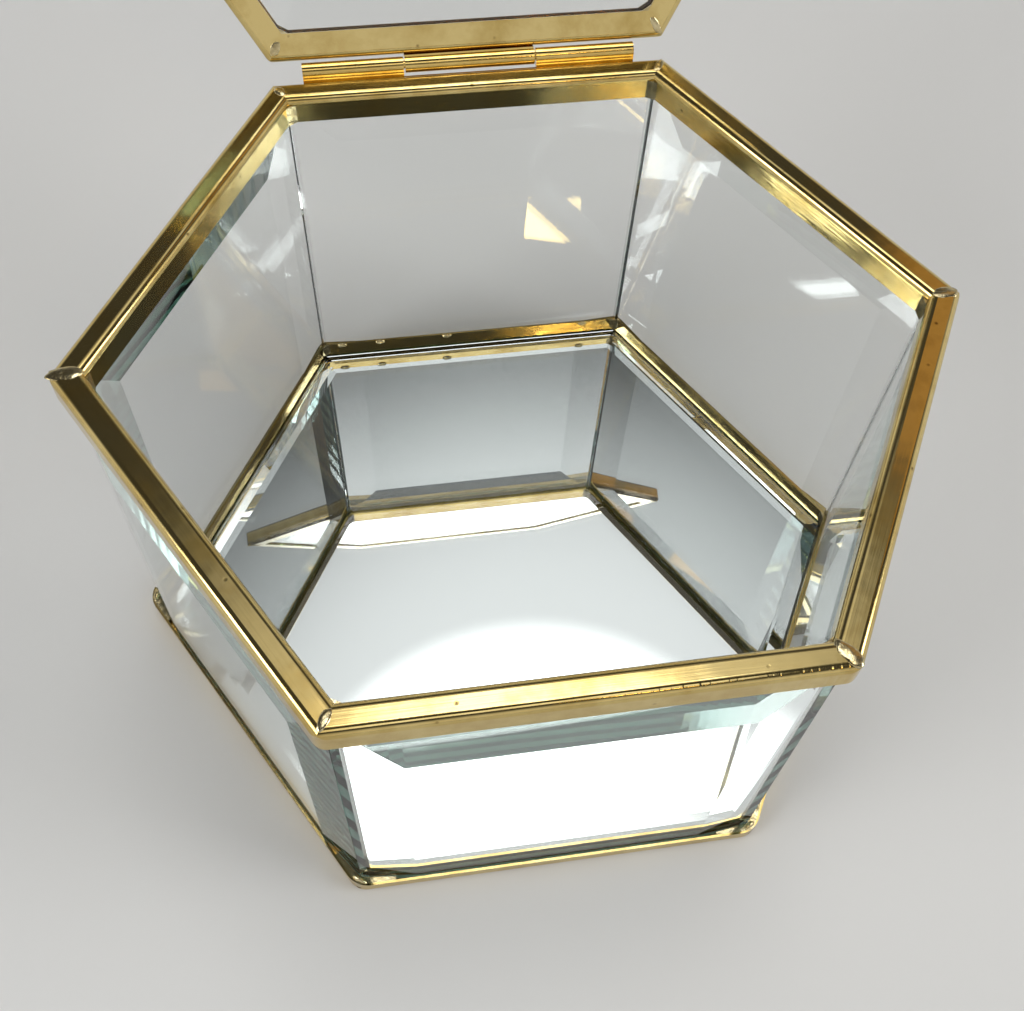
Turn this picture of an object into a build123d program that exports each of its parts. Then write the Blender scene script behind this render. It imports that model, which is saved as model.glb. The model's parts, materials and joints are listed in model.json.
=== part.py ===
"""Hexagonal keepsake casket: bevelled glass panes in soldered brass channel, a mirror floor
and a framed glass lid on a tube hinge.

Units are millimetres. The origin is the centre of the base where it rests on the table,
+Z is up, the hinge is on the +Y side, and the lid is modelled open.
"""
from build123d import *
from math import cos, radians, sin, tan
import os

os.makedirs("parts", exist_ok=True)

# ---------------------------------------------------------------- driving dimensions
side_length = 76.0             # one side of the hexagon, over the brass, corner to corner
box_height = 78.0              # table to the top of the rim

brass_gauge = 0.45             # sheet that the channels are rolled from
came_edge_radius = 1.4         # rolled outer edges of the channels
came_corner_radius = 2.5       # filed-round corners of the rim and lid frames
rim_inner_flange = 5.4         # how far the rim channel reaches down inside the panes
rim_outer_flange = 4.8         # and outside them
lid_flange = 5.2               # how far the lid channel reaches in over its pane
base_inner_flange = 6.6        # how far the base channel reaches up inside the panes
base_outer_flange = 3.6        # and outside them
base_corner_radius = 5.0       # the base frame's corners are filed rounder

glass_thickness = 4.0
glazing_gap = 0.05             # from a pane's face to the channel, each side
glazing_top_gap = 0.3          # from a pane's top edge to the rim channel
mitre_gap = 0.05               # from each pane's mitred edge to the corner line
top_bevel = 12.5               # width of the walls' top bevel
front_top_bevel = 16.5         # the three front walls have a wider one
side_bevel = 11.0              # width of the walls' two upright bevels
lid_bevel = 10.5               # width of the lid pane's bevel
bevelled_edge = 2.6            # glass left at a bevelled edge
seamed_edge = 1.0              # corner ground off each glass edge that sits in a channel

mirror_thickness = 3.0
mirror_backing_thickness = 0.3
silvering_gap = 0.05           # from the backing to the glass
mirror_gap = 0.3               # from the mirror's edge to the base channel, filled with glue
mirror_glue_height = 1.6
mirror_bevel = 3.0             # width of the mirror's narrow edge bevel
mirror_bevel_depth = 0.6

hinge_length = 64.0
middle_knuckle_length = 25.0
knuckle_end_gap = 0.3          # along the pin, between neighbouring knuckles
knuckle_radius = 1.5
pin_radius = 0.7
pin_clearance = 0.05           # radial running clearance of the pin
leaf_thickness = 0.8
box_leaf_height = 3.6
lid_leaf_height = 3.6
hinge_clearance = 0.3          # from a knuckle to the face that the other leaf is on
axis_rise = 0.7                # hinge axis above the rim
closed_lid_gap = 0.5           # from the rim to the closed lid
open_angle = 115.0             # the lid's turn from closed to its stop

solder_leg = 1.2               # width of a solder fillet along each channel
solder_reach = 7.0             # how far the base's outer solder runs from a corner
glue_leg = 0.7                 # width of a glue fillet along each pane

# ---------------------------------------------------------------- worked-out dimensions
HALF_CORNER = radians(30)      # half the turn from one corner of a hexagon to the next
channel_width = glass_thickness + 2 * (brass_gauge + glazing_gap)
outer_apothem = side_length * cos(HALF_CORNER)
inner_apothem = outer_apothem - channel_width
pane_outside = outer_apothem - brass_gauge - glazing_gap
pane_inside = pane_outside - glass_thickness
pane_bottom = brass_gauge
pane_top = box_height - brass_gauge - glazing_top_gap
bevel_depth = glass_thickness - bevelled_edge

mirror_apothem = inner_apothem - mirror_gap
mirror_bottom = mirror_backing_thickness + silvering_gap
mirror_top = mirror_bottom + mirror_thickness

axis_y = outer_apothem + hinge_clearance + knuckle_radius
axis_z = box_height + axis_rise
bore_radius = pin_radius + pin_clearance
outer_knuckle_length = (hinge_length - middle_knuckle_length) / 2 - knuckle_end_gap
box_leaf_top = axis_z - knuckle_radius - hinge_clearance

lid_underside = box_height + closed_lid_gap
lid_top = lid_underside + channel_width
lid_middle = lid_underside + channel_width / 2
lid_pane_bottom = lid_underside + brass_gauge + glazing_gap

SIDES = ("back_right", "back", "back_left", "front_left", "front", "front_right")


# ---------------------------------------------------------------- shared geometry
def opened(plane):
    """The place of a closed lid's plane once the lid has swung open about the hinge axis."""
    to_axis = Location((0, axis_y, axis_z))
    swing = Location((0, 0, 0), (-open_angle, 0, 0))
    return Plane(to_axis * swing * to_axis.inverse() * plane.location)


def side_direction(side, turn=0):
    """Level direction from the centre line to the middle of a side, turned by some degrees."""
    angle = radians(30 + 60 * SIDES.index(side) + turn)
    return Vector(cos(angle), sin(angle), 0)


def section_plane(side):
    """Upright section of a side: X runs outwards from the centre line, Y runs up."""
    outwards = side_direction(side)
    return Plane(origin=(0, 0, 0), x_dir=outwards, z_dir=outwards.cross(Vector(0, 0, 1)))


def mitre_planes(side, gap=0.0):
    """The two upright planes along the corner lines that cut off a side, gap short of them."""
    directions = [side_direction(side, turn) for turn in (60, -60)]
    return [Plane(origin=way * gap, x_dir=(0, 0, 1), z_dir=way) for way in directions]


def side_bevel_planes(side):
    """The two slanting planes that bevel the upright edges of a wall from its outside."""
    half_face = pane_outside * tan(HALF_CORNER)
    half_edge = (pane_outside - bevel_depth) * tan(HALF_CORNER)
    run = half_edge - (half_face - side_bevel)
    outwards = side_direction(side)
    along = outwards.cross(Vector(0, 0, 1))
    planes = []
    for way in (-1, 1):
        start = outwards * pane_outside + along * way * (half_face - side_bevel)
        kept = outwards * -run - along * way * bevel_depth
        planes.append(Plane(origin=start, x_dir=(0, 0, 1), z_dir=kept))
    return planes


def channel_section(left_flange, right_flange):
    """Rolled U section, centred on X = 0 with its web on Y = 0 and its flanges along +Y."""
    half = channel_width / 2
    with BuildSketch() as section:
        with BuildLine():
            FilletPolyline(
                (-half, left_flange), (-half, 0), (half, 0), (half, right_flange),
                radius=came_edge_radius,
            )
            offset(amount=brass_gauge, side=Side.LEFT)
        make_face()
    return section.sketch


def filed_outline(plane, corner_radius):
    """The hexagon over the brass with its corners filed round."""
    with BuildSketch(plane) as outline:
        RegularPolygon(radius=outer_apothem, side_count=6, major_radius=False)
        fillet(outline.vertices(), corner_radius)
    return outline.sketch


def corner_fillets(corner_radius, leg):
    """Six triangles, one in each corner of a hexagonal opening, in the current sketch."""
    back, across = leg * sin(HALF_CORNER), leg * cos(HALF_CORNER)
    with PolarLocations(corner_radius, 6):
        Polygon((0, 0), (-back, across), (-back, -across), align=None)


def outer_corner_fills():
    """Six arrow shapes between the outer flange and the panes' bevels, in the current sketch."""
    flange_corner = Vector((outer_apothem - brass_gauge) / cos(HALF_CORNER), 0)
    pane_corner = Vector((pane_outside - bevel_depth) / cos(HALF_CORNER) + glazing_gap, 0)
    face_corner = Vector(pane_outside / cos(HALF_CORNER) + glazing_gap, 0)
    far_side, near_side = (Vector(-sin(HALF_CORNER), way * cos(HALF_CORNER)) for way in (1, -1))
    share = solder_reach / side_bevel
    flange_far, flange_near = (
        flange_corner + along * solder_reach for along in (far_side, near_side)
    )
    pane_far, pane_near = (
        pane_corner + (face_corner + along * side_bevel - pane_corner) * share
        for along in (far_side, near_side)
    )
    with PolarLocations(0, 6):
        Polygon(
            *(
                (point.X, point.Y)
                for point in (flange_corner, flange_far, pane_far, pane_corner, pane_near, flange_near)
            ),
            align=None,
        )


def save(builder, name):
    """Label a finished piece and write it to its own file."""
    builder.part.label = name
    export_step(builder.part, f"parts/{name}.step")


# ---------------------------------------------------------------- base frame
for side in SIDES:
    with BuildPart() as base_came:
        with BuildSketch(section_plane(side)):
            with Locations((inner_apothem + channel_width / 2, 0)):
                add(channel_section(base_inner_flange, base_outer_flange))
        extrude(amount=side_length, both=True)
        for mitre in mitre_planes(side):
            split(bisect_by=mitre)
        extrude(filed_outline(Plane.XY, base_corner_radius), box_height, mode=Mode.INTERSECT)
    save(base_came, f"base_came_{side}")

with BuildPart() as base_corner_solder:
    with BuildSketch(Plane.XY.offset(came_edge_radius)):
        outer_corner_fills()
    extrude(amount=base_outer_flange - came_edge_radius)
    extrude(filed_outline(Plane.XY, base_corner_radius), box_height, mode=Mode.INTERSECT)
    with BuildSketch(Plane.XY.offset(mirror_top + mirror_gap)):
        corner_fillets(inner_apothem / cos(HALF_CORNER), solder_leg)
    extrude(amount=base_inner_flange - mirror_top - mirror_gap)
save(base_corner_solder, "base_corner_solder")

# ---------------------------------------------------------------- mirror floor
with BuildPart() as mirror_backing:
    with BuildSketch():
        RegularPolygon(radius=mirror_apothem, side_count=6, major_radius=False)
    extrude(amount=mirror_backing_thickness)
save(mirror_backing, "mirror_backing")

with BuildPart() as mirror_glue:
    with BuildSketch(Plane.XY.offset(mirror_bottom)):
        RegularPolygon(radius=inner_apothem, side_count=6, major_radius=False)
        RegularPolygon(
            radius=mirror_apothem, side_count=6, major_radius=False, mode=Mode.SUBTRACT
        )
    extrude(amount=mirror_glue_height)
save(mirror_glue, "mirror_glue")

with BuildPart() as mirror_floor:
    with BuildSketch(Plane.XY.offset(mirror_bottom)):
        RegularPolygon(radius=mirror_apothem, side_count=6, major_radius=False)
    extrude(amount=mirror_thickness)
    top_face = mirror_floor.faces().sort_by(Axis.Z)[-1]
    chamfer(top_face.edges(), mirror_bevel, mirror_bevel_depth, reference=top_face)
save(mirror_floor, "mirror_floor")

# ---------------------------------------------------------------- walls
for side in SIDES:
    bevel_start = pane_top - (front_top_bevel if "front" in side else top_bevel)
    with BuildPart() as wall_glass:
        with BuildSketch(section_plane(side)):
            Polygon(
                (pane_inside, pane_bottom + seamed_edge),
                (pane_inside + seamed_edge, pane_bottom),
                (pane_outside - seamed_edge, pane_bottom),
                (pane_outside, pane_bottom + seamed_edge),
                (pane_outside, bevel_start),
                (pane_outside - bevel_depth, pane_top),
                (pane_inside + seamed_edge, pane_top),
                (pane_inside, pane_top - seamed_edge),
                align=None,
            )
        extrude(amount=side_length, both=True)
        for cut in mitre_planes(side, mitre_gap) + side_bevel_planes(side):
            split(bisect_by=cut)
    save(wall_glass, f"wall_glass_{side}")

with BuildPart() as corner_glue:
    with BuildSketch(Plane.XY.offset(base_inner_flange)):
        corner_fillets((pane_inside - glazing_gap) / cos(HALF_CORNER), glue_leg)
    extrude(amount=box_height - rim_inner_flange - base_inner_flange)
save(corner_glue, "corner_glue")

# ---------------------------------------------------------------- rim frame
for side in SIDES:
    with BuildPart() as rim_came:
        with BuildSketch(section_plane(side)):
            with Locations(Location((inner_apothem + channel_width / 2, box_height), 180)):
                add(channel_section(rim_outer_flange, rim_inner_flange))
        extrude(amount=side_length, both=True)
        for mitre in mitre_planes(side):
            split(bisect_by=mitre)
        extrude(filed_outline(Plane.XY, came_corner_radius), box_height, mode=Mode.INTERSECT)
    save(rim_came, f"rim_came_{side}")

with BuildPart() as rim_corner_solder:
    with BuildSketch(Plane.XY.offset(box_height - rim_inner_flange)):
        corner_fillets(inner_apothem / cos(HALF_CORNER), solder_leg)
    extrude(amount=rim_inner_flange - came_edge_radius)
save(rim_corner_solder, "rim_corner_solder")

# ---------------------------------------------------------------- lid, swung open
for side in SIDES:
    with BuildPart() as lid_came:
        with BuildSketch(opened(section_plane(side))):
            with Locations(Location((outer_apothem, lid_middle), 90)):
                add(channel_section(lid_flange, lid_flange))
        extrude(amount=side_length, both=True)
        for mitre in mitre_planes(side):
            split(bisect_by=opened(mitre))
        lid_outline = filed_outline(opened(Plane.XY.offset(box_height)), came_corner_radius)
        extrude(lid_outline, box_height, mode=Mode.INTERSECT)
    save(lid_came, f"lid_came_{side}")

with BuildPart() as lid_glass:
    lid_plane = opened(Plane.XY.offset(lid_pane_bottom))
    with BuildSketch(lid_plane):
        RegularPolygon(radius=pane_outside, side_count=6, major_radius=False)
    extrude(amount=glass_thickness)
    through_pane = Axis(lid_plane.origin, lid_plane.z_dir)
    bottom_face, *_, top_face = lid_glass.faces().sort_by(through_pane)
    chamfer(top_face.edges(), lid_bevel, bevel_depth, reference=top_face)
    chamfer(bottom_face.edges(), seamed_edge)
save(lid_glass, "lid_glass")

with BuildPart() as lid_corner_solder:
    for level in (lid_underside, lid_top - brass_gauge):
        with BuildSketch(opened(Plane.XY.offset(level))):
            corner_fillets((outer_apothem - lid_flange) / cos(HALF_CORNER), solder_leg)
        extrude(amount=brass_gauge)
save(lid_corner_solder, "lid_corner_solder")

# ---------------------------------------------------------------- hinge
with BuildPart() as box_hinge_leaf:
    with BuildSketch(Plane.YZ):
        with Locations((outer_apothem, box_leaf_top)):
            Rectangle(leaf_thickness, box_leaf_height, align=(Align.MIN, Align.MAX))
    extrude(amount=hinge_length / 2, both=True)
    for start in (-hinge_length / 2, hinge_length / 2 - outer_knuckle_length):
        with BuildSketch(Plane.YZ.offset(start)):
            with Locations((axis_y, axis_z)):
                Circle(knuckle_radius)
            Polygon(
                (outer_apothem, box_leaf_top - leaf_thickness),
                (outer_apothem + leaf_thickness, box_leaf_top - leaf_thickness),
                (axis_y, axis_z),
                (axis_y - knuckle_radius, axis_z),
                (axis_y - knuckle_radius, box_height),
                align=None,
            )
        extrude(amount=outer_knuckle_length)
    with BuildSketch(Plane.YZ):
        with Locations((axis_y, axis_z)):
            Circle(bore_radius)
    extrude(amount=hinge_length, both=True, mode=Mode.SUBTRACT)
save(box_hinge_leaf, "box_hinge_leaf")

with BuildPart() as lid_hinge_leaf:
    with BuildSketch(opened(Plane.YZ)):
        with Locations((axis_y, axis_z)):
            Circle(knuckle_radius)
        with Locations((outer_apothem, lid_underside)):
            Rectangle(leaf_thickness, lid_leaf_height, align=(Align.MIN, Align.MIN))
        with Locations((axis_y, axis_z)):
            Circle(bore_radius, mode=Mode.SUBTRACT)
    extrude(amount=middle_knuckle_length / 2, both=True)
save(lid_hinge_leaf, "lid_hinge_leaf")

with BuildPart() as hinge_pin:
    with BuildSketch(Plane.YZ):
        with Locations((axis_y, axis_z)):
            Circle(pin_radius)
    extrude(amount=hinge_length / 2, both=True)
save(hinge_pin, "hinge_pin")
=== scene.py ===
"""The looks of a hexagonal glass casket box: bevelled panes in brass channel, a mirror floor
and a framed glass lid on a tube hinge. Metres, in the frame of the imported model."""

import json
import math

import bmesh
import bpy
from mathutils import Matrix, Vector, noise


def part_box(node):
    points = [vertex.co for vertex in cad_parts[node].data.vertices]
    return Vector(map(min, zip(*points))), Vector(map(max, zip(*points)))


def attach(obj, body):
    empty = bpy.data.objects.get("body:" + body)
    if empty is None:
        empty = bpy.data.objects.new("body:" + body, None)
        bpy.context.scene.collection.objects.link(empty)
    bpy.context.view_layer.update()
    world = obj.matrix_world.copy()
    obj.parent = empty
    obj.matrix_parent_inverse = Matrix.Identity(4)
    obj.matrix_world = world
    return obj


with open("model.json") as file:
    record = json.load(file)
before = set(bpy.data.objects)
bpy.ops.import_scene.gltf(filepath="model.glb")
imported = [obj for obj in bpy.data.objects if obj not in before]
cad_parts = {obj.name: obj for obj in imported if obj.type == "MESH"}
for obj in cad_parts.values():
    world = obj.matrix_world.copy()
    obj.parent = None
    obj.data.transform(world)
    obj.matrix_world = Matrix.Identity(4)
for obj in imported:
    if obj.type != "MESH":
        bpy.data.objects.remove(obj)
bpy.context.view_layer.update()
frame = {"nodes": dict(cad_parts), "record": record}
nodes = frame["nodes"]
sides = ("back_right", "back", "back_left", "front_left", "front", "front_right")


# --- Brass channel: base, rim and lid frames -------------------------------------------------
# Sheet brass rolled into a square U and cut to mitres, six lengths to a frame, soldered at the
# corners and then polished by hand, which leaves a mirror shine with a slight wave in it, faint
# lines along each length, small pits and a thin uneven tarnish.
def linear(hex_colour):
    """An sRGB hex colour as linear RGBA."""
    parts = [int(hex_colour[i:i + 2], 16) / 255 for i in (1, 3, 5)]
    return [p / 12.92 if p <= 0.04045 else ((p + 0.055) / 1.055) ** 2.4 for p in parts] + [1.0]


def add_node(tree, kind, settings=None, links=None):
    """Adds a node, sets its fields and input values, and links its inputs."""
    node = tree.nodes.new(kind)
    for name, value in (settings or {}).items():
        if isinstance(name, str) and hasattr(node, name):
            setattr(node, name, value)
        else:
            node.inputs[name].default_value = value
    for name, socket in (links or {}).items():
        tree.links.new(socket, node.inputs[name])
    return node


def new_material(name):
    """A material with an empty node tree, its output node and its Object coordinates."""
    material = bpy.data.materials.new(name)
    material.use_nodes = True
    tree = material.node_tree
    tree.nodes.clear()
    output = add_node(tree, "ShaderNodeOutputMaterial")
    return material, tree, output, add_node(tree, "ShaderNodeTexCoord").outputs["Object"]


def dress(node_name, material):
    """Gives a CAD node one material in all its slots."""
    for slot in nodes[node_name].material_slots:
        slot.material = material


brass_bright = "#D6BF80"
brass_worn = "#B79A55"
brass_tarnish = "#6B5224"
drawing_line_width = 0.0004   # spacing of the faint lines along a length
polish_wave = 0.0045          # length of the slight wave that hand polishing leaves
tarnish_patch = 0.011         # width of the uneven patches
pit_spacing = 0.0042          # distance between the small pits
pit_size = 0.00022            # radius of a pit
nick_spacing = 0.0011         # distance between the nicks of the closing pliers
nick_reach = 0.0012           # how far in from the outer edge the nicks go
lid_joint = frame["record"]["behaviour"]["joints"][0]
hinge_axis = Vector(lid_joint["pos_m"])
opened_lid = math.radians(lid_joint["range_deg"][1])
front_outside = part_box("rim_came_front")[0][1]
rim_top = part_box("rim_came_front")[1][2]


def rolled_brass(name, turn, tilt, nicked=False):
    """Polished rolled brass with its faint lines along a length turned by turn about Z, on a
    frame tilted by tilt about X. A nicked length has plier marks on its outer edge."""
    material, tree, output, place = new_material(name)
    level = add_node(tree, "ShaderNodeMapping", {"vector_type": "TEXTURE", "Rotation": (tilt, 0, 0)},
                     {"Vector": place}).outputs[0]
    along = add_node(tree, "ShaderNodeMapping", {"vector_type": "TEXTURE", "Rotation": (0, 0, turn)},
                     {"Vector": level}).outputs[0]
    stretched = add_node(tree, "ShaderNodeMapping", {"Scale": (0.025, 1, 1)},
                         {"Vector": along}).outputs[0]
    lines = add_node(tree, "ShaderNodeTexNoise",
                     {"Scale": 1 / drawing_line_width, "Detail": 2.0, "Roughness": 0.6},
                     {"Vector": stretched}).outputs["Fac"]
    wave = add_node(tree, "ShaderNodeTexNoise", {"Scale": 1 / polish_wave, "Detail": 1.0},
                    {"Vector": place}).outputs["Fac"]
    patches = add_node(tree, "ShaderNodeTexNoise",
                       {"Scale": 1 / tarnish_patch, "Detail": 5.0, "Roughness": 0.62},
                       {"Vector": place}).outputs["Fac"]
    wear = add_node(tree, "ShaderNodeMapRange", {"From Min": 0.42, "From Max": 0.72},
                    {"Value": patches}).outputs[0]
    pits = add_node(tree, "ShaderNodeTexVoronoi", {"Scale": 1 / pit_spacing, "Randomness": 1.0},
                    {"Vector": place}).outputs["Distance"]
    pit = add_node(tree, "ShaderNodeMapRange",
                   {"From Min": 0.0, "From Max": pit_size / pit_spacing * 2, "To Min": 1.0, "To Max": 0.0},
                   {"Value": pits}).outputs[0]
    colour = add_node(tree, "ShaderNodeMix",
                      {"data_type": "RGBA", 6: linear(brass_bright), 7: linear(brass_worn)},
                      {0: wear}).outputs[2]
    pitted = add_node(tree, "ShaderNodeMix", {"data_type": "RGBA", 7: linear(brass_tarnish)},
                      {0: pit, 6: colour}).outputs[2]
    line_rough = add_node(tree, "ShaderNodeMapRange", {"To Min": 0.06, "To Max": 0.14},
                          {"Value": lines}).outputs[0]
    rough = add_node(tree, "ShaderNodeMath", {"operation": "MULTIPLY_ADD", 1: 0.09},
                     {0: wear, 2: line_rough}).outputs[0]
    height = add_node(tree, "ShaderNodeMath", {"operation": "MULTIPLY_ADD", 1: -2.0},
                      {0: pit, 2: lines}).outputs[0]
    if nicked:
        notch_line = add_node(tree, "ShaderNodeMapping", {"Scale": (1, 0, 0)},
                              {"Vector": along}).outputs[0]
        notches = add_node(tree, "ShaderNodeTexNoise", {"Scale": 1 / nick_spacing, "Detail": 0.0},
                           {"Vector": notch_line}).outputs["Fac"]
        cut = add_node(tree, "ShaderNodeMapRange", {"From Min": 0.54, "From Max": 0.62},
                       {"Value": notches}).outputs[0]
        where = add_node(tree, "ShaderNodeSeparateXYZ", {}, {0: place})
        at_edge = add_node(tree, "ShaderNodeMath",
                           {"operation": "LESS_THAN", 1: front_outside + nick_reach},
                           {0: where.outputs["Y"]}).outputs[0]
        to_right = add_node(tree, "ShaderNodeMapRange", {"From Min": 0.0, "From Max": 0.03},
                            {"Value": where.outputs["X"]}).outputs[0]
        both = add_node(tree, "ShaderNodeMath", {"operation": "MULTIPLY"},
                        {0: at_edge, 1: to_right}).outputs[0]
        nick = add_node(tree, "ShaderNodeMath", {"operation": "MULTIPLY"},
                        {0: both, 1: cut}).outputs[0]
        height = add_node(tree, "ShaderNodeMath", {"operation": "MULTIPLY_ADD", 1: -6.0},
                          {0: nick, 2: height}).outputs[0]
    rolled = add_node(tree, "ShaderNodeBump", {"Strength": 0.5, "Distance": 0.00005},
                      {"Height": wave}).outputs[0]
    bump = add_node(tree, "ShaderNodeBump", {"Strength": 0.10, "Distance": 0.00008},
                    {"Height": height, "Normal": rolled}).outputs[0]
    shader = add_node(tree, "ShaderNodeBsdfPrincipled", {"Metallic": 1.0},
                      {"Base Color": pitted, "Roughness": rough, "Normal": bump})
    tree.links.new(shader.outputs[0], output.inputs["Surface"])
    return material


for index, side in enumerate(sides):
    length_turn = math.radians(120 + 60 * index)
    level_brass = rolled_brass(f"rolled_brass_{side}", length_turn, 0.0)
    dress(f"base_came_{side}", level_brass)
    if side == "front":
        level_brass = rolled_brass("rolled_brass_with_plier_nicks", length_turn, 0.0, nicked=True)
    dress(f"rim_came_{side}", level_brass)
    dress(f"lid_came_{side}", rolled_brass(f"rolled_brass_lid_{side}", length_turn, -opened_lid))


# --- Solder in the corners of the frames -----------------------------------------------------
# Soft solder run into the mitres and plated over with the frames: a paler brass, lumpy and duller
# than the channel, with painted highlight on the tops of its lumps and painted shade in their hollows.
# It lies in a filed-down smear over each mitre of the rim and the lid, in a rounded lump round each foot of
# the base, and in a few stray drops inside.
solder_pale_with_painted_highlight = "#EADFB8"
solder_hollow_painted_shade = "#9C8348"
solder_lump = 0.0016

solder_brass, tree, output, place = new_material("plated_soft_solder")
lumps = add_node(tree, "ShaderNodeTexNoise", {"Scale": 1 / solder_lump, "Detail": 3.0},
                 {"Vector": place}).outputs["Fac"]
# painted light: the colour follows the lump height, pale as a painted highlight on the tops and dark as
# painted shade in the hollows
colour = add_node(tree, "ShaderNodeMix",
                  {"data_type": "RGBA", 6: linear(solder_hollow_painted_shade), 7: linear(solder_pale_with_painted_highlight)},
                  {0: lumps}).outputs[2]
bump = add_node(tree, "ShaderNodeBump", {"Strength": 0.45, "Distance": 0.0003},
                {"Height": lumps}).outputs[0]
shader = add_node(tree, "ShaderNodeBsdfPrincipled", {"Metallic": 1.0, "Roughness": 0.2},
                  {"Base Color": colour, "Normal": bump})
tree.links.new(shader.outputs[0], output.inputs["Surface"])
for node_name in ("base_corner_solder", "rim_corner_solder", "lid_corner_solder"):
    dress(node_name, solder_brass)


def lump(cloud, place, half_sizes, turn, seed):
    """Adds an uneven drop to the bmesh, with its first half size turned by turn about Z."""
    made = bmesh.ops.create_icosphere(cloud, subdivisions=3, radius=1.0)["verts"]
    for vert in made:
        vert.co *= 1 + 0.22 * noise.noise(vert.co * 1.7 + Vector((seed * 3.1, 0, 0)))
    bmesh.ops.scale(cloud, vec=half_sizes, verts=made)
    bmesh.ops.rotate(cloud, matrix=Matrix.Rotation(turn, 3, "Z"), verts=made)
    bmesh.ops.translate(cloud, vec=place, verts=made)


def make_piece(cloud, name, material, body):
    """Turns a bmesh into a smooth piece of the object that moves with a body."""
    for face in cloud.faces:
        face.smooth = True
    mesh = bpy.data.meshes.new(name)
    cloud.to_mesh(mesh)
    cloud.free()
    mesh.materials.append(material)
    piece = bpy.data.objects.new(name, mesh)
    bpy.context.scene.collection.objects.link(piece)
    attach(piece, body)
    return piece


outside = -front_outside
half_corner = math.radians(30)
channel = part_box("rim_came_front")[1][1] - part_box("rim_came_front")[0][1]
mitre_middle = (outside - channel / 2) / math.cos(half_corner)
smear_sizes = ((1.25, 1.0), (0.8, 0.9), (1.0, 0.7), (1.4, 1.3), (0.9, 0.8), (1.3, 1.15))

rim_smears = bmesh.new()
lid_smears = bmesh.new()
base_lumps = bmesh.new()
lid_underside = rim_top + 0.0005
for corner, (wide, long) in enumerate(smear_sizes):
    turn = math.radians(60 * corner)
    outwards = Vector((math.cos(turn), math.sin(turn), 0))
    lump(rim_smears, outwards * mitre_middle + Vector((0, 0, rim_top - 0.00008)),
         (0.0023 * long, 0.0010 * wide, 0.00024), turn, corner)
    lump(lid_smears, outwards * mitre_middle + Vector((0, 0, lid_underside + 0.00008)),
         (0.0023 * long, 0.0009 * wide, 0.00022), turn, corner + 7)
    lump(base_lumps, outwards * (outside / math.cos(half_corner) - 0.0016) + Vector((0, 0, 0.0022)),
         (0.0008, 0.0021, 0.0018), turn, corner + 14)
drop_places = (-0.031, -0.022, -0.006, 0.027)
base_inside = outside - channel
base_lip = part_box("base_came_back")[1][2]
for count, along_back in enumerate(drop_places):
    lump(base_lumps, Vector((along_back, base_inside - 0.0001, base_lip - 0.0004)),
         (0.0011, 0.0004, 0.0006), 0.0, count + 21)
swing_open = (Matrix.Translation(hinge_axis) @ Matrix.Rotation(-opened_lid, 4, "X")
              @ Matrix.Translation(-hinge_axis))
bmesh.ops.transform(lid_smears, matrix=swing_open, verts=lid_smears.verts)
make_piece(rim_smears, "rim_solder_smears", solder_brass, "box")
make_piece(lid_smears, "lid_solder_smears", solder_brass, "lid")
make_piece(base_lumps, "base_solder_lumps", solder_brass, "box")


# --- Mirror floor ----------------------------------------------------------------------------
# A hexagon of float glass with a ground edge bevel, silvered and painted on its back, glued by
# its edge into the base frame. The silver shows through the glass and the grey paint is below.
def clear_float(name, tint, strength, foot=None):
    """Clear float glass with the faint green of its iron, which deepens with the way through,
    and finger smears that dull it a little in patches. A pane with a foot is ground matt below
    it, and its upward bevels get a painted green haze that stands in for their refraction colour."""
    material, tree, output, place = new_material(name)
    smears = add_node(tree, "ShaderNodeTexNoise",
                      {"Scale": 1 / smear_width, "Detail": 4.0, "Roughness": 0.65},
                      {"Vector": place}).outputs["Fac"]
    rough = add_node(tree, "ShaderNodeMapRange",
                     {"From Min": 0.5, "From Max": 0.8, "To Min": 0.0, "To Max": 0.035},
                     {"Value": smears}).outputs[0]
    shader = add_node(tree, "ShaderNodeBsdfPrincipled",
                      {"Base Color": (1, 1, 1, 1), "IOR": 1.52, "Transmission Weight": 1.0})
    if foot is not None:
        facing = add_node(tree, "ShaderNodeNewGeometry").outputs["Normal"]
        upward = add_node(tree, "ShaderNodeSeparateXYZ", {}, {0: facing}).outputs["Z"]
        # painted light: faces that tilt a little upward, the bevels, are tinted green and made partly opaque
        # in place of the colour refraction gives them
        on_bevel = add_node(tree, "ShaderNodeMapRange", {"From Min": 0.06, "From Max": 0.12},
                            {"Value": upward}).outputs[0]
        tinted = add_node(tree, "ShaderNodeMix",
                          {"data_type": "RGBA", 6: (1, 1, 1, 1), 7: linear(bevel_painted_refraction_green)},
                          {0: on_bevel}).outputs[2]
        clear = add_node(tree, "ShaderNodeMapRange", {"To Min": 1.0, "To Max": 1.0 - bevel_painted_green_share},
                         {"Value": on_bevel}).outputs[0]
        tree.links.new(tinted, shader.inputs["Base Color"])
        tree.links.new(clear, shader.inputs["Transmission Weight"])
        height = add_node(tree, "ShaderNodeSeparateXYZ", {}, {0: place}).outputs["Z"]
        below = add_node(tree, "ShaderNodeMath", {"operation": "LESS_THAN", 1: foot},
                         {0: height}).outputs[0]
        rough = add_node(tree, "ShaderNodeMix", {"data_type": "FLOAT", 3: ground_roughness},
                         {0: below, 2: rough}).outputs[0]
    tree.links.new(rough, shader.inputs["Roughness"])
    inside = add_node(tree, "ShaderNodeVolumeAbsorption",
                      {"Color": linear(tint), "Density": strength})
    tree.links.new(shader.outputs[0], output.inputs["Surface"])
    tree.links.new(inside.outputs[0], output.inputs["Volume"])
    return material


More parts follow.
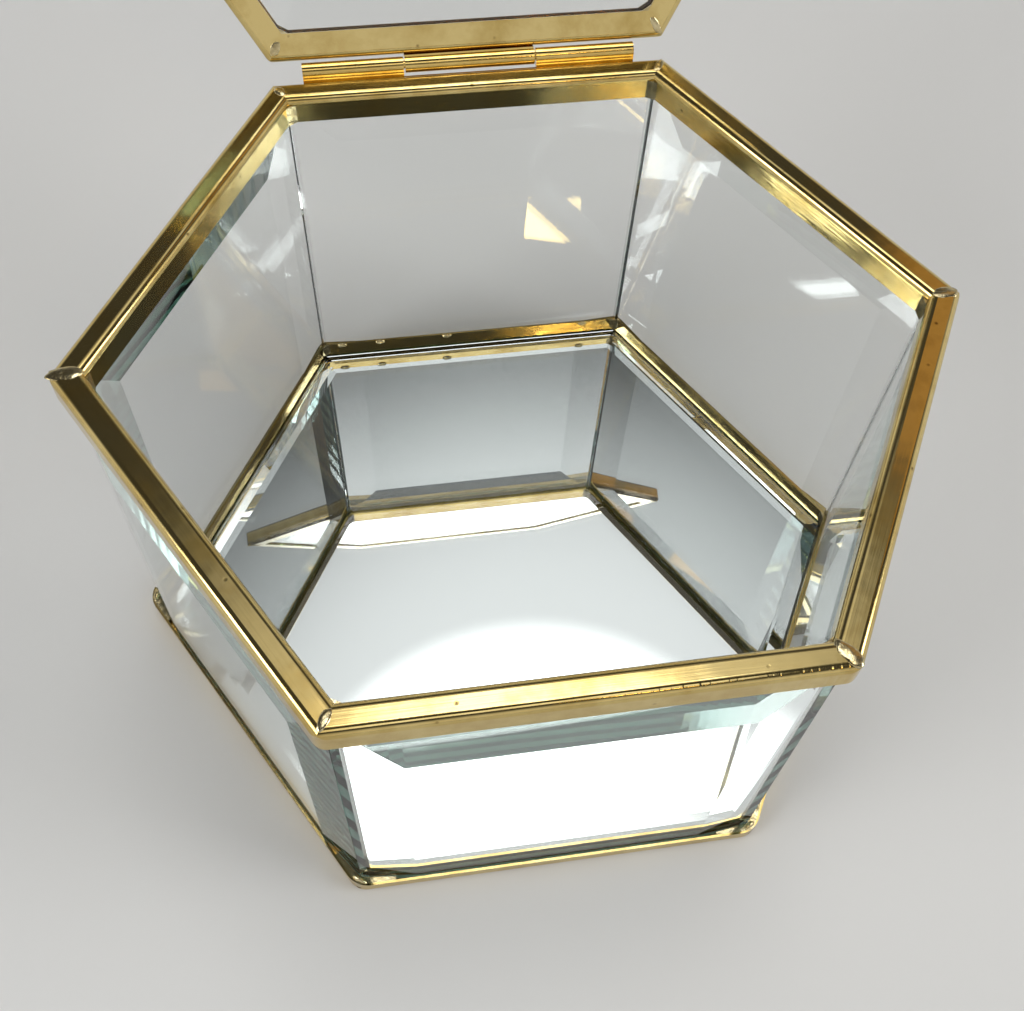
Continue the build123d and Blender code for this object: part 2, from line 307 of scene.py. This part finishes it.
smear_width = 0.018           # width of a faint finger smear
iron_green = "#8FEBE0"        # what is left of white light in thick float glass
ground_roughness = 0.5        # of the lower edges, which stand in the base channel
bevel_painted_refraction_green = "#A8DDD0"        # painted refraction green on the upward bevels
bevel_painted_green_share = 0.7              # how much of that painted green hides the clear glass
dress("mirror_floor", clear_float("float_glass_of_mirror", iron_green, 9.0))

silver_white = "#EEF1F0"
backing_paint = "#5E6660"
paint_depth = 0.00012          # the paint shows below this height, the silver above it
silvering, tree, output, place = new_material("silvering_with_painted_back")
haze = add_node(tree, "ShaderNodeTexNoise", {"Scale": 60.0, "Detail": 3.0},
                {"Vector": place}).outputs["Fac"]
height = add_node(tree, "ShaderNodeSeparateXYZ", {}, {0: place}).outputs["Z"]
silvered = add_node(tree, "ShaderNodeMath", {"operation": "GREATER_THAN", 1: paint_depth},
                    {0: height}).outputs[0]
silver_rough = add_node(tree, "ShaderNodeMapRange", {"To Min": 0.0, "To Max": 0.03},
                        {"Value": haze}).outputs[0]
rough = add_node(tree, "ShaderNodeMix", {"data_type": "FLOAT", 2: 0.6},
                 {0: silvered, 3: silver_rough}).outputs[0]
colour = add_node(tree, "ShaderNodeMix",
                  {"data_type": "RGBA", 6: linear(backing_paint), 7: linear(silver_white)},
                  {0: silvered}).outputs[2]
shader = add_node(tree, "ShaderNodeBsdfPrincipled", {},
                  {"Base Color": colour, "Roughness": rough, "Metallic": silvered})
tree.links.new(shader.outputs[0], output.inputs["Surface"])
dress("mirror_backing", silvering)


# --- Wall panes ------------------------------------------------------------------------------
# Six panes of clear float glass, ground and polished to a wide bevel on three sides, with
# mitred upright edges, standing in the base channel and capped by the rim channel.
ground_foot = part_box("wall_glass_front")[0][2] + 0.0012
wall_float = clear_float("bevelled_float_glass", iron_green, 7.0, ground_foot)
for side in sides:
    dress(f"wall_glass_{side}", wall_float)


# --- Glue in the upright corners and round the mirror ----------------------------------------
# Clear adhesive drawn into the mitres between the panes, smooth and slightly green, and a bead
# of it between the mirror's edge and the base frame.
glue_clear = clear_float("clear_set_adhesive", "#A8E6C8", 14.0)
dress("corner_glue", glue_clear)
dress("mirror_glue", glue_clear)


# --- Lid pane --------------------------------------------------------------------------------
# One hexagon of the same bevelled float glass, held all round in the lid channel.
dress("lid_glass", clear_float("lid_float_glass", iron_green, 7.0))


# --- Tube hinge ------------------------------------------------------------------------------
# Bright drawn brass tube in three knuckles on a pin, with strip leaves soldered to the rim and
# to the lid channel; a bead of solder runs along the rim's leaf. It was polished more than the frames.
tube_bright = "#E8CF86"
tube_stain = "#C49C4A"
hinge_brass, tree, output, place = new_material("drawn_brass_tube")
drawn = add_node(tree, "ShaderNodeMapping", {"Scale": (0.05, 1, 1)}, {"Vector": place}).outputs[0]
draw = add_node(tree, "ShaderNodeTexNoise", {"Scale": 2500.0, "Detail": 2.0},
                {"Vector": drawn}).outputs["Fac"]
stain = add_node(tree, "ShaderNodeTexNoise", {"Scale": 220.0, "Detail": 4.0},
                 {"Vector": place}).outputs["Fac"]
colour = add_node(tree, "ShaderNodeMix",
                  {"data_type": "RGBA", 6: linear(tube_bright), 7: linear(tube_stain)},
                  {0: stain}).outputs[2]
rough = add_node(tree, "ShaderNodeMapRange", {"To Min": 0.08, "To Max": 0.2},
                 {"Value": draw}).outputs[0]
bump = add_node(tree, "ShaderNodeBump", {"Strength": 0.1, "Distance": 0.00005},
                {"Height": draw}).outputs[0]
shader = add_node(tree, "ShaderNodeBsdfPrincipled", {"Metallic": 1.0},
                  {"Base Color": colour, "Roughness": rough, "Normal": bump})
tree.links.new(shader.outputs[0], output.inputs["Surface"])
for node_name in ("box_hinge_leaf", "lid_hinge_leaf", "hinge_pin"):
    dress(node_name, hinge_brass)

box_leaf_low, box_leaf_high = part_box("box_hinge_leaf")
leaf_bead = bmesh.new()
bead_step = 0.0062
for count in range(10):
    along = box_leaf_low[0] + bead_step * (count + 0.6)
    lump(leaf_bead, Vector((along, outside + 0.0003, box_leaf_low[2])),
         (0.0042, 0.0005, 0.0005), 0.0, count + 30)
make_piece(leaf_bead, "hinge_solder_bead", solder_brass, "box")


# --- Floor, light and camera -----------------------------------------------------------------
# A plain pale floor under a soft ceiling glow behind the box, with soft lights above, in front
# and at the sides, and the camera at the viewing angle of the photograph. Light goes up and down
# inside the panes many times before it leaves by a bevel, so more bounces are allowed.
floor_colour = "#DCDCDA"
floor_size = 6.0
sweep = bmesh.new()
bmesh.ops.create_grid(sweep, x_segments=1, y_segments=1, size=floor_size / 2)
floor_mesh = bpy.data.meshes.new("floor")
sweep.to_mesh(floor_mesh)
sweep.free()
floor = bpy.data.objects.new("floor", floor_mesh)
bpy.context.scene.collection.objects.link(floor)
paper, tree, output, place = new_material("floor_paper")
shader = add_node(tree, "ShaderNodeBsdfPrincipled", {"Base Color": linear(floor_colour), "Roughness": 0.7})
tree.links.new(shader.outputs[0], output.inputs["Surface"])
floor_mesh.materials.append(paper)


def towards(azimuth, elevation, distance=1.0):
    """The point at that distance from the box, azimuth turned from +Y towards +X, in degrees."""
    az, el = math.radians(azimuth), math.radians(elevation)
    return Vector((math.sin(az) * math.cos(el), math.cos(az) * math.cos(el), math.sin(el))) * distance


horizon_level = 0.75          # the pale backdrop
ceiling_level = 0.06          # the darker room above it
glow_level = 3.4              # the light that whitens the mirror and the front rim
halo_level = 0.85             # its soft surround
world = bpy.data.worlds.new("studio")
bpy.context.scene.world = world
world.use_nodes = True
tree = world.node_tree
tree.nodes.clear()
direction = add_node(tree, "ShaderNodeTexCoord").outputs["Generated"]


def patch_of_light(centre, inner, outer, level):
    """A soft round patch of the ceiling, full within inner degrees of centre, none past outer."""
    nearness = add_node(tree, "ShaderNodeVectorMath", {"operation": "DOT_PRODUCT", 1: centre},
                        {0: direction}).outputs["Value"]
    return add_node(tree, "ShaderNodeMapRange",
                    {"interpolation_type": "SMOOTHSTEP", "From Min": math.cos(math.radians(outer)),
                     "From Max": math.cos(math.radians(inner)), "To Min": 0.0, "To Max": level},
                    {"Value": nearness}).outputs[0]


height = add_node(tree, "ShaderNodeSeparateXYZ", {}, {0: direction}).outputs["Z"]
backdrop = add_node(tree, "ShaderNodeMapRange",
                    {"interpolation_type": "SMOOTHSTEP", "From Min": math.sin(math.radians(15)),
                     "From Max": math.sin(math.radians(40)), "To Min": horizon_level, "To Max": ceiling_level},
                    {"Value": height}).outputs[0]
glow = patch_of_light(towards(20, 75), 8, 12.5, glow_level)
halo = patch_of_light(towards(18, 70), 6, 22, halo_level)
patches = add_node(tree, "ShaderNodeMath", {"operation": "ADD"}, {0: glow, 1: halo}).outputs[0]
level = add_node(tree, "ShaderNodeMath", {"operation": "ADD"}, {0: patches, 1: backdrop}).outputs[0]
sky = add_node(tree, "ShaderNodeBackground", {"Color": (1, 1, 1, 1)}, {"Strength": level})
add_node(tree, "ShaderNodeOutputWorld", {}, {"Surface": sky.outputs[0]})


def soft_box(name, place, width, depth, power, colour="#FFFFFF"):
    """A rectangular area lamp at place, turned to face the box."""
    lamp = bpy.data.lights.new(name, "AREA")
    lamp.shape = "RECTANGLE"
    lamp.size, lamp.size_y, lamp.energy = width, depth, power
    lamp.color = linear(colour)[:3]
    holder = bpy.data.objects.new(name, lamp)
    facing = (Vector((0, 0, 0.05)) - place).to_track_quat("-Z", "Y").to_matrix().to_4x4()
    holder.matrix_world = Matrix.Translation(place) @ facing
    bpy.context.scene.collection.objects.link(holder)


soft_box("left_light", towards(-105, 32, 1.4), 0.80, 0.50, 8.0)
soft_box("right_light", towards(105, 32, 1.4), 0.80, 0.50, 8.0)
soft_box("front_light", towards(183, 60, 1.4), 0.90, 0.40, 1.5)
soft_box("warm_side_light", towards(52, 44, 1.3), 0.50, 0.40, 0.25, "#FFC870")
soft_box("warm_front_light", towards(164.5, 45, 1.05), 0.06, 0.05, 0.14, "#FFD98C")

view_yaw, view_pitch, view_roll = (math.radians(a) for a in (11.64, 57.77, 3.75))
view_from = (-0.02619, -0.12766, 0.23102)
focal_in_pixels = 1213.4
picture_width = 1024
forward = Vector((math.sin(view_yaw) * math.cos(view_pitch), math.cos(view_yaw) * math.cos(view_pitch),
                  -math.sin(view_pitch)))
level_right = Vector((math.cos(view_yaw), -math.sin(view_yaw), 0))
level_up = level_right.cross(forward)
right = level_right * math.cos(view_roll) + level_up * math.sin(view_roll)
up = level_up * math.cos(view_roll) - level_right * math.sin(view_roll)
camera = bpy.data.cameras.new("camera")
camera.sensor_width = 36.0
camera.lens = focal_in_pixels / picture_width * camera.sensor_width
camera.clip_start = 0.01
camera_holder = bpy.data.objects.new("camera", camera)
camera_turn = Matrix((right, up, -forward)).transposed().to_4x4()
camera_holder.matrix_world = Matrix.Translation(view_from) @ camera_turn
bpy.context.scene.collection.objects.link(camera_holder)
bpy.context.scene.camera = camera_holder
bpy.context.scene.view_settings.view_transform = "Standard"
light_bounces = 40
bpy.context.scene.cycles.max_bounces = light_bounces
bpy.context.scene.cycles.glossy_bounces = light_bounces
bpy.context.scene.cycles.transmission_bounces = light_bounces
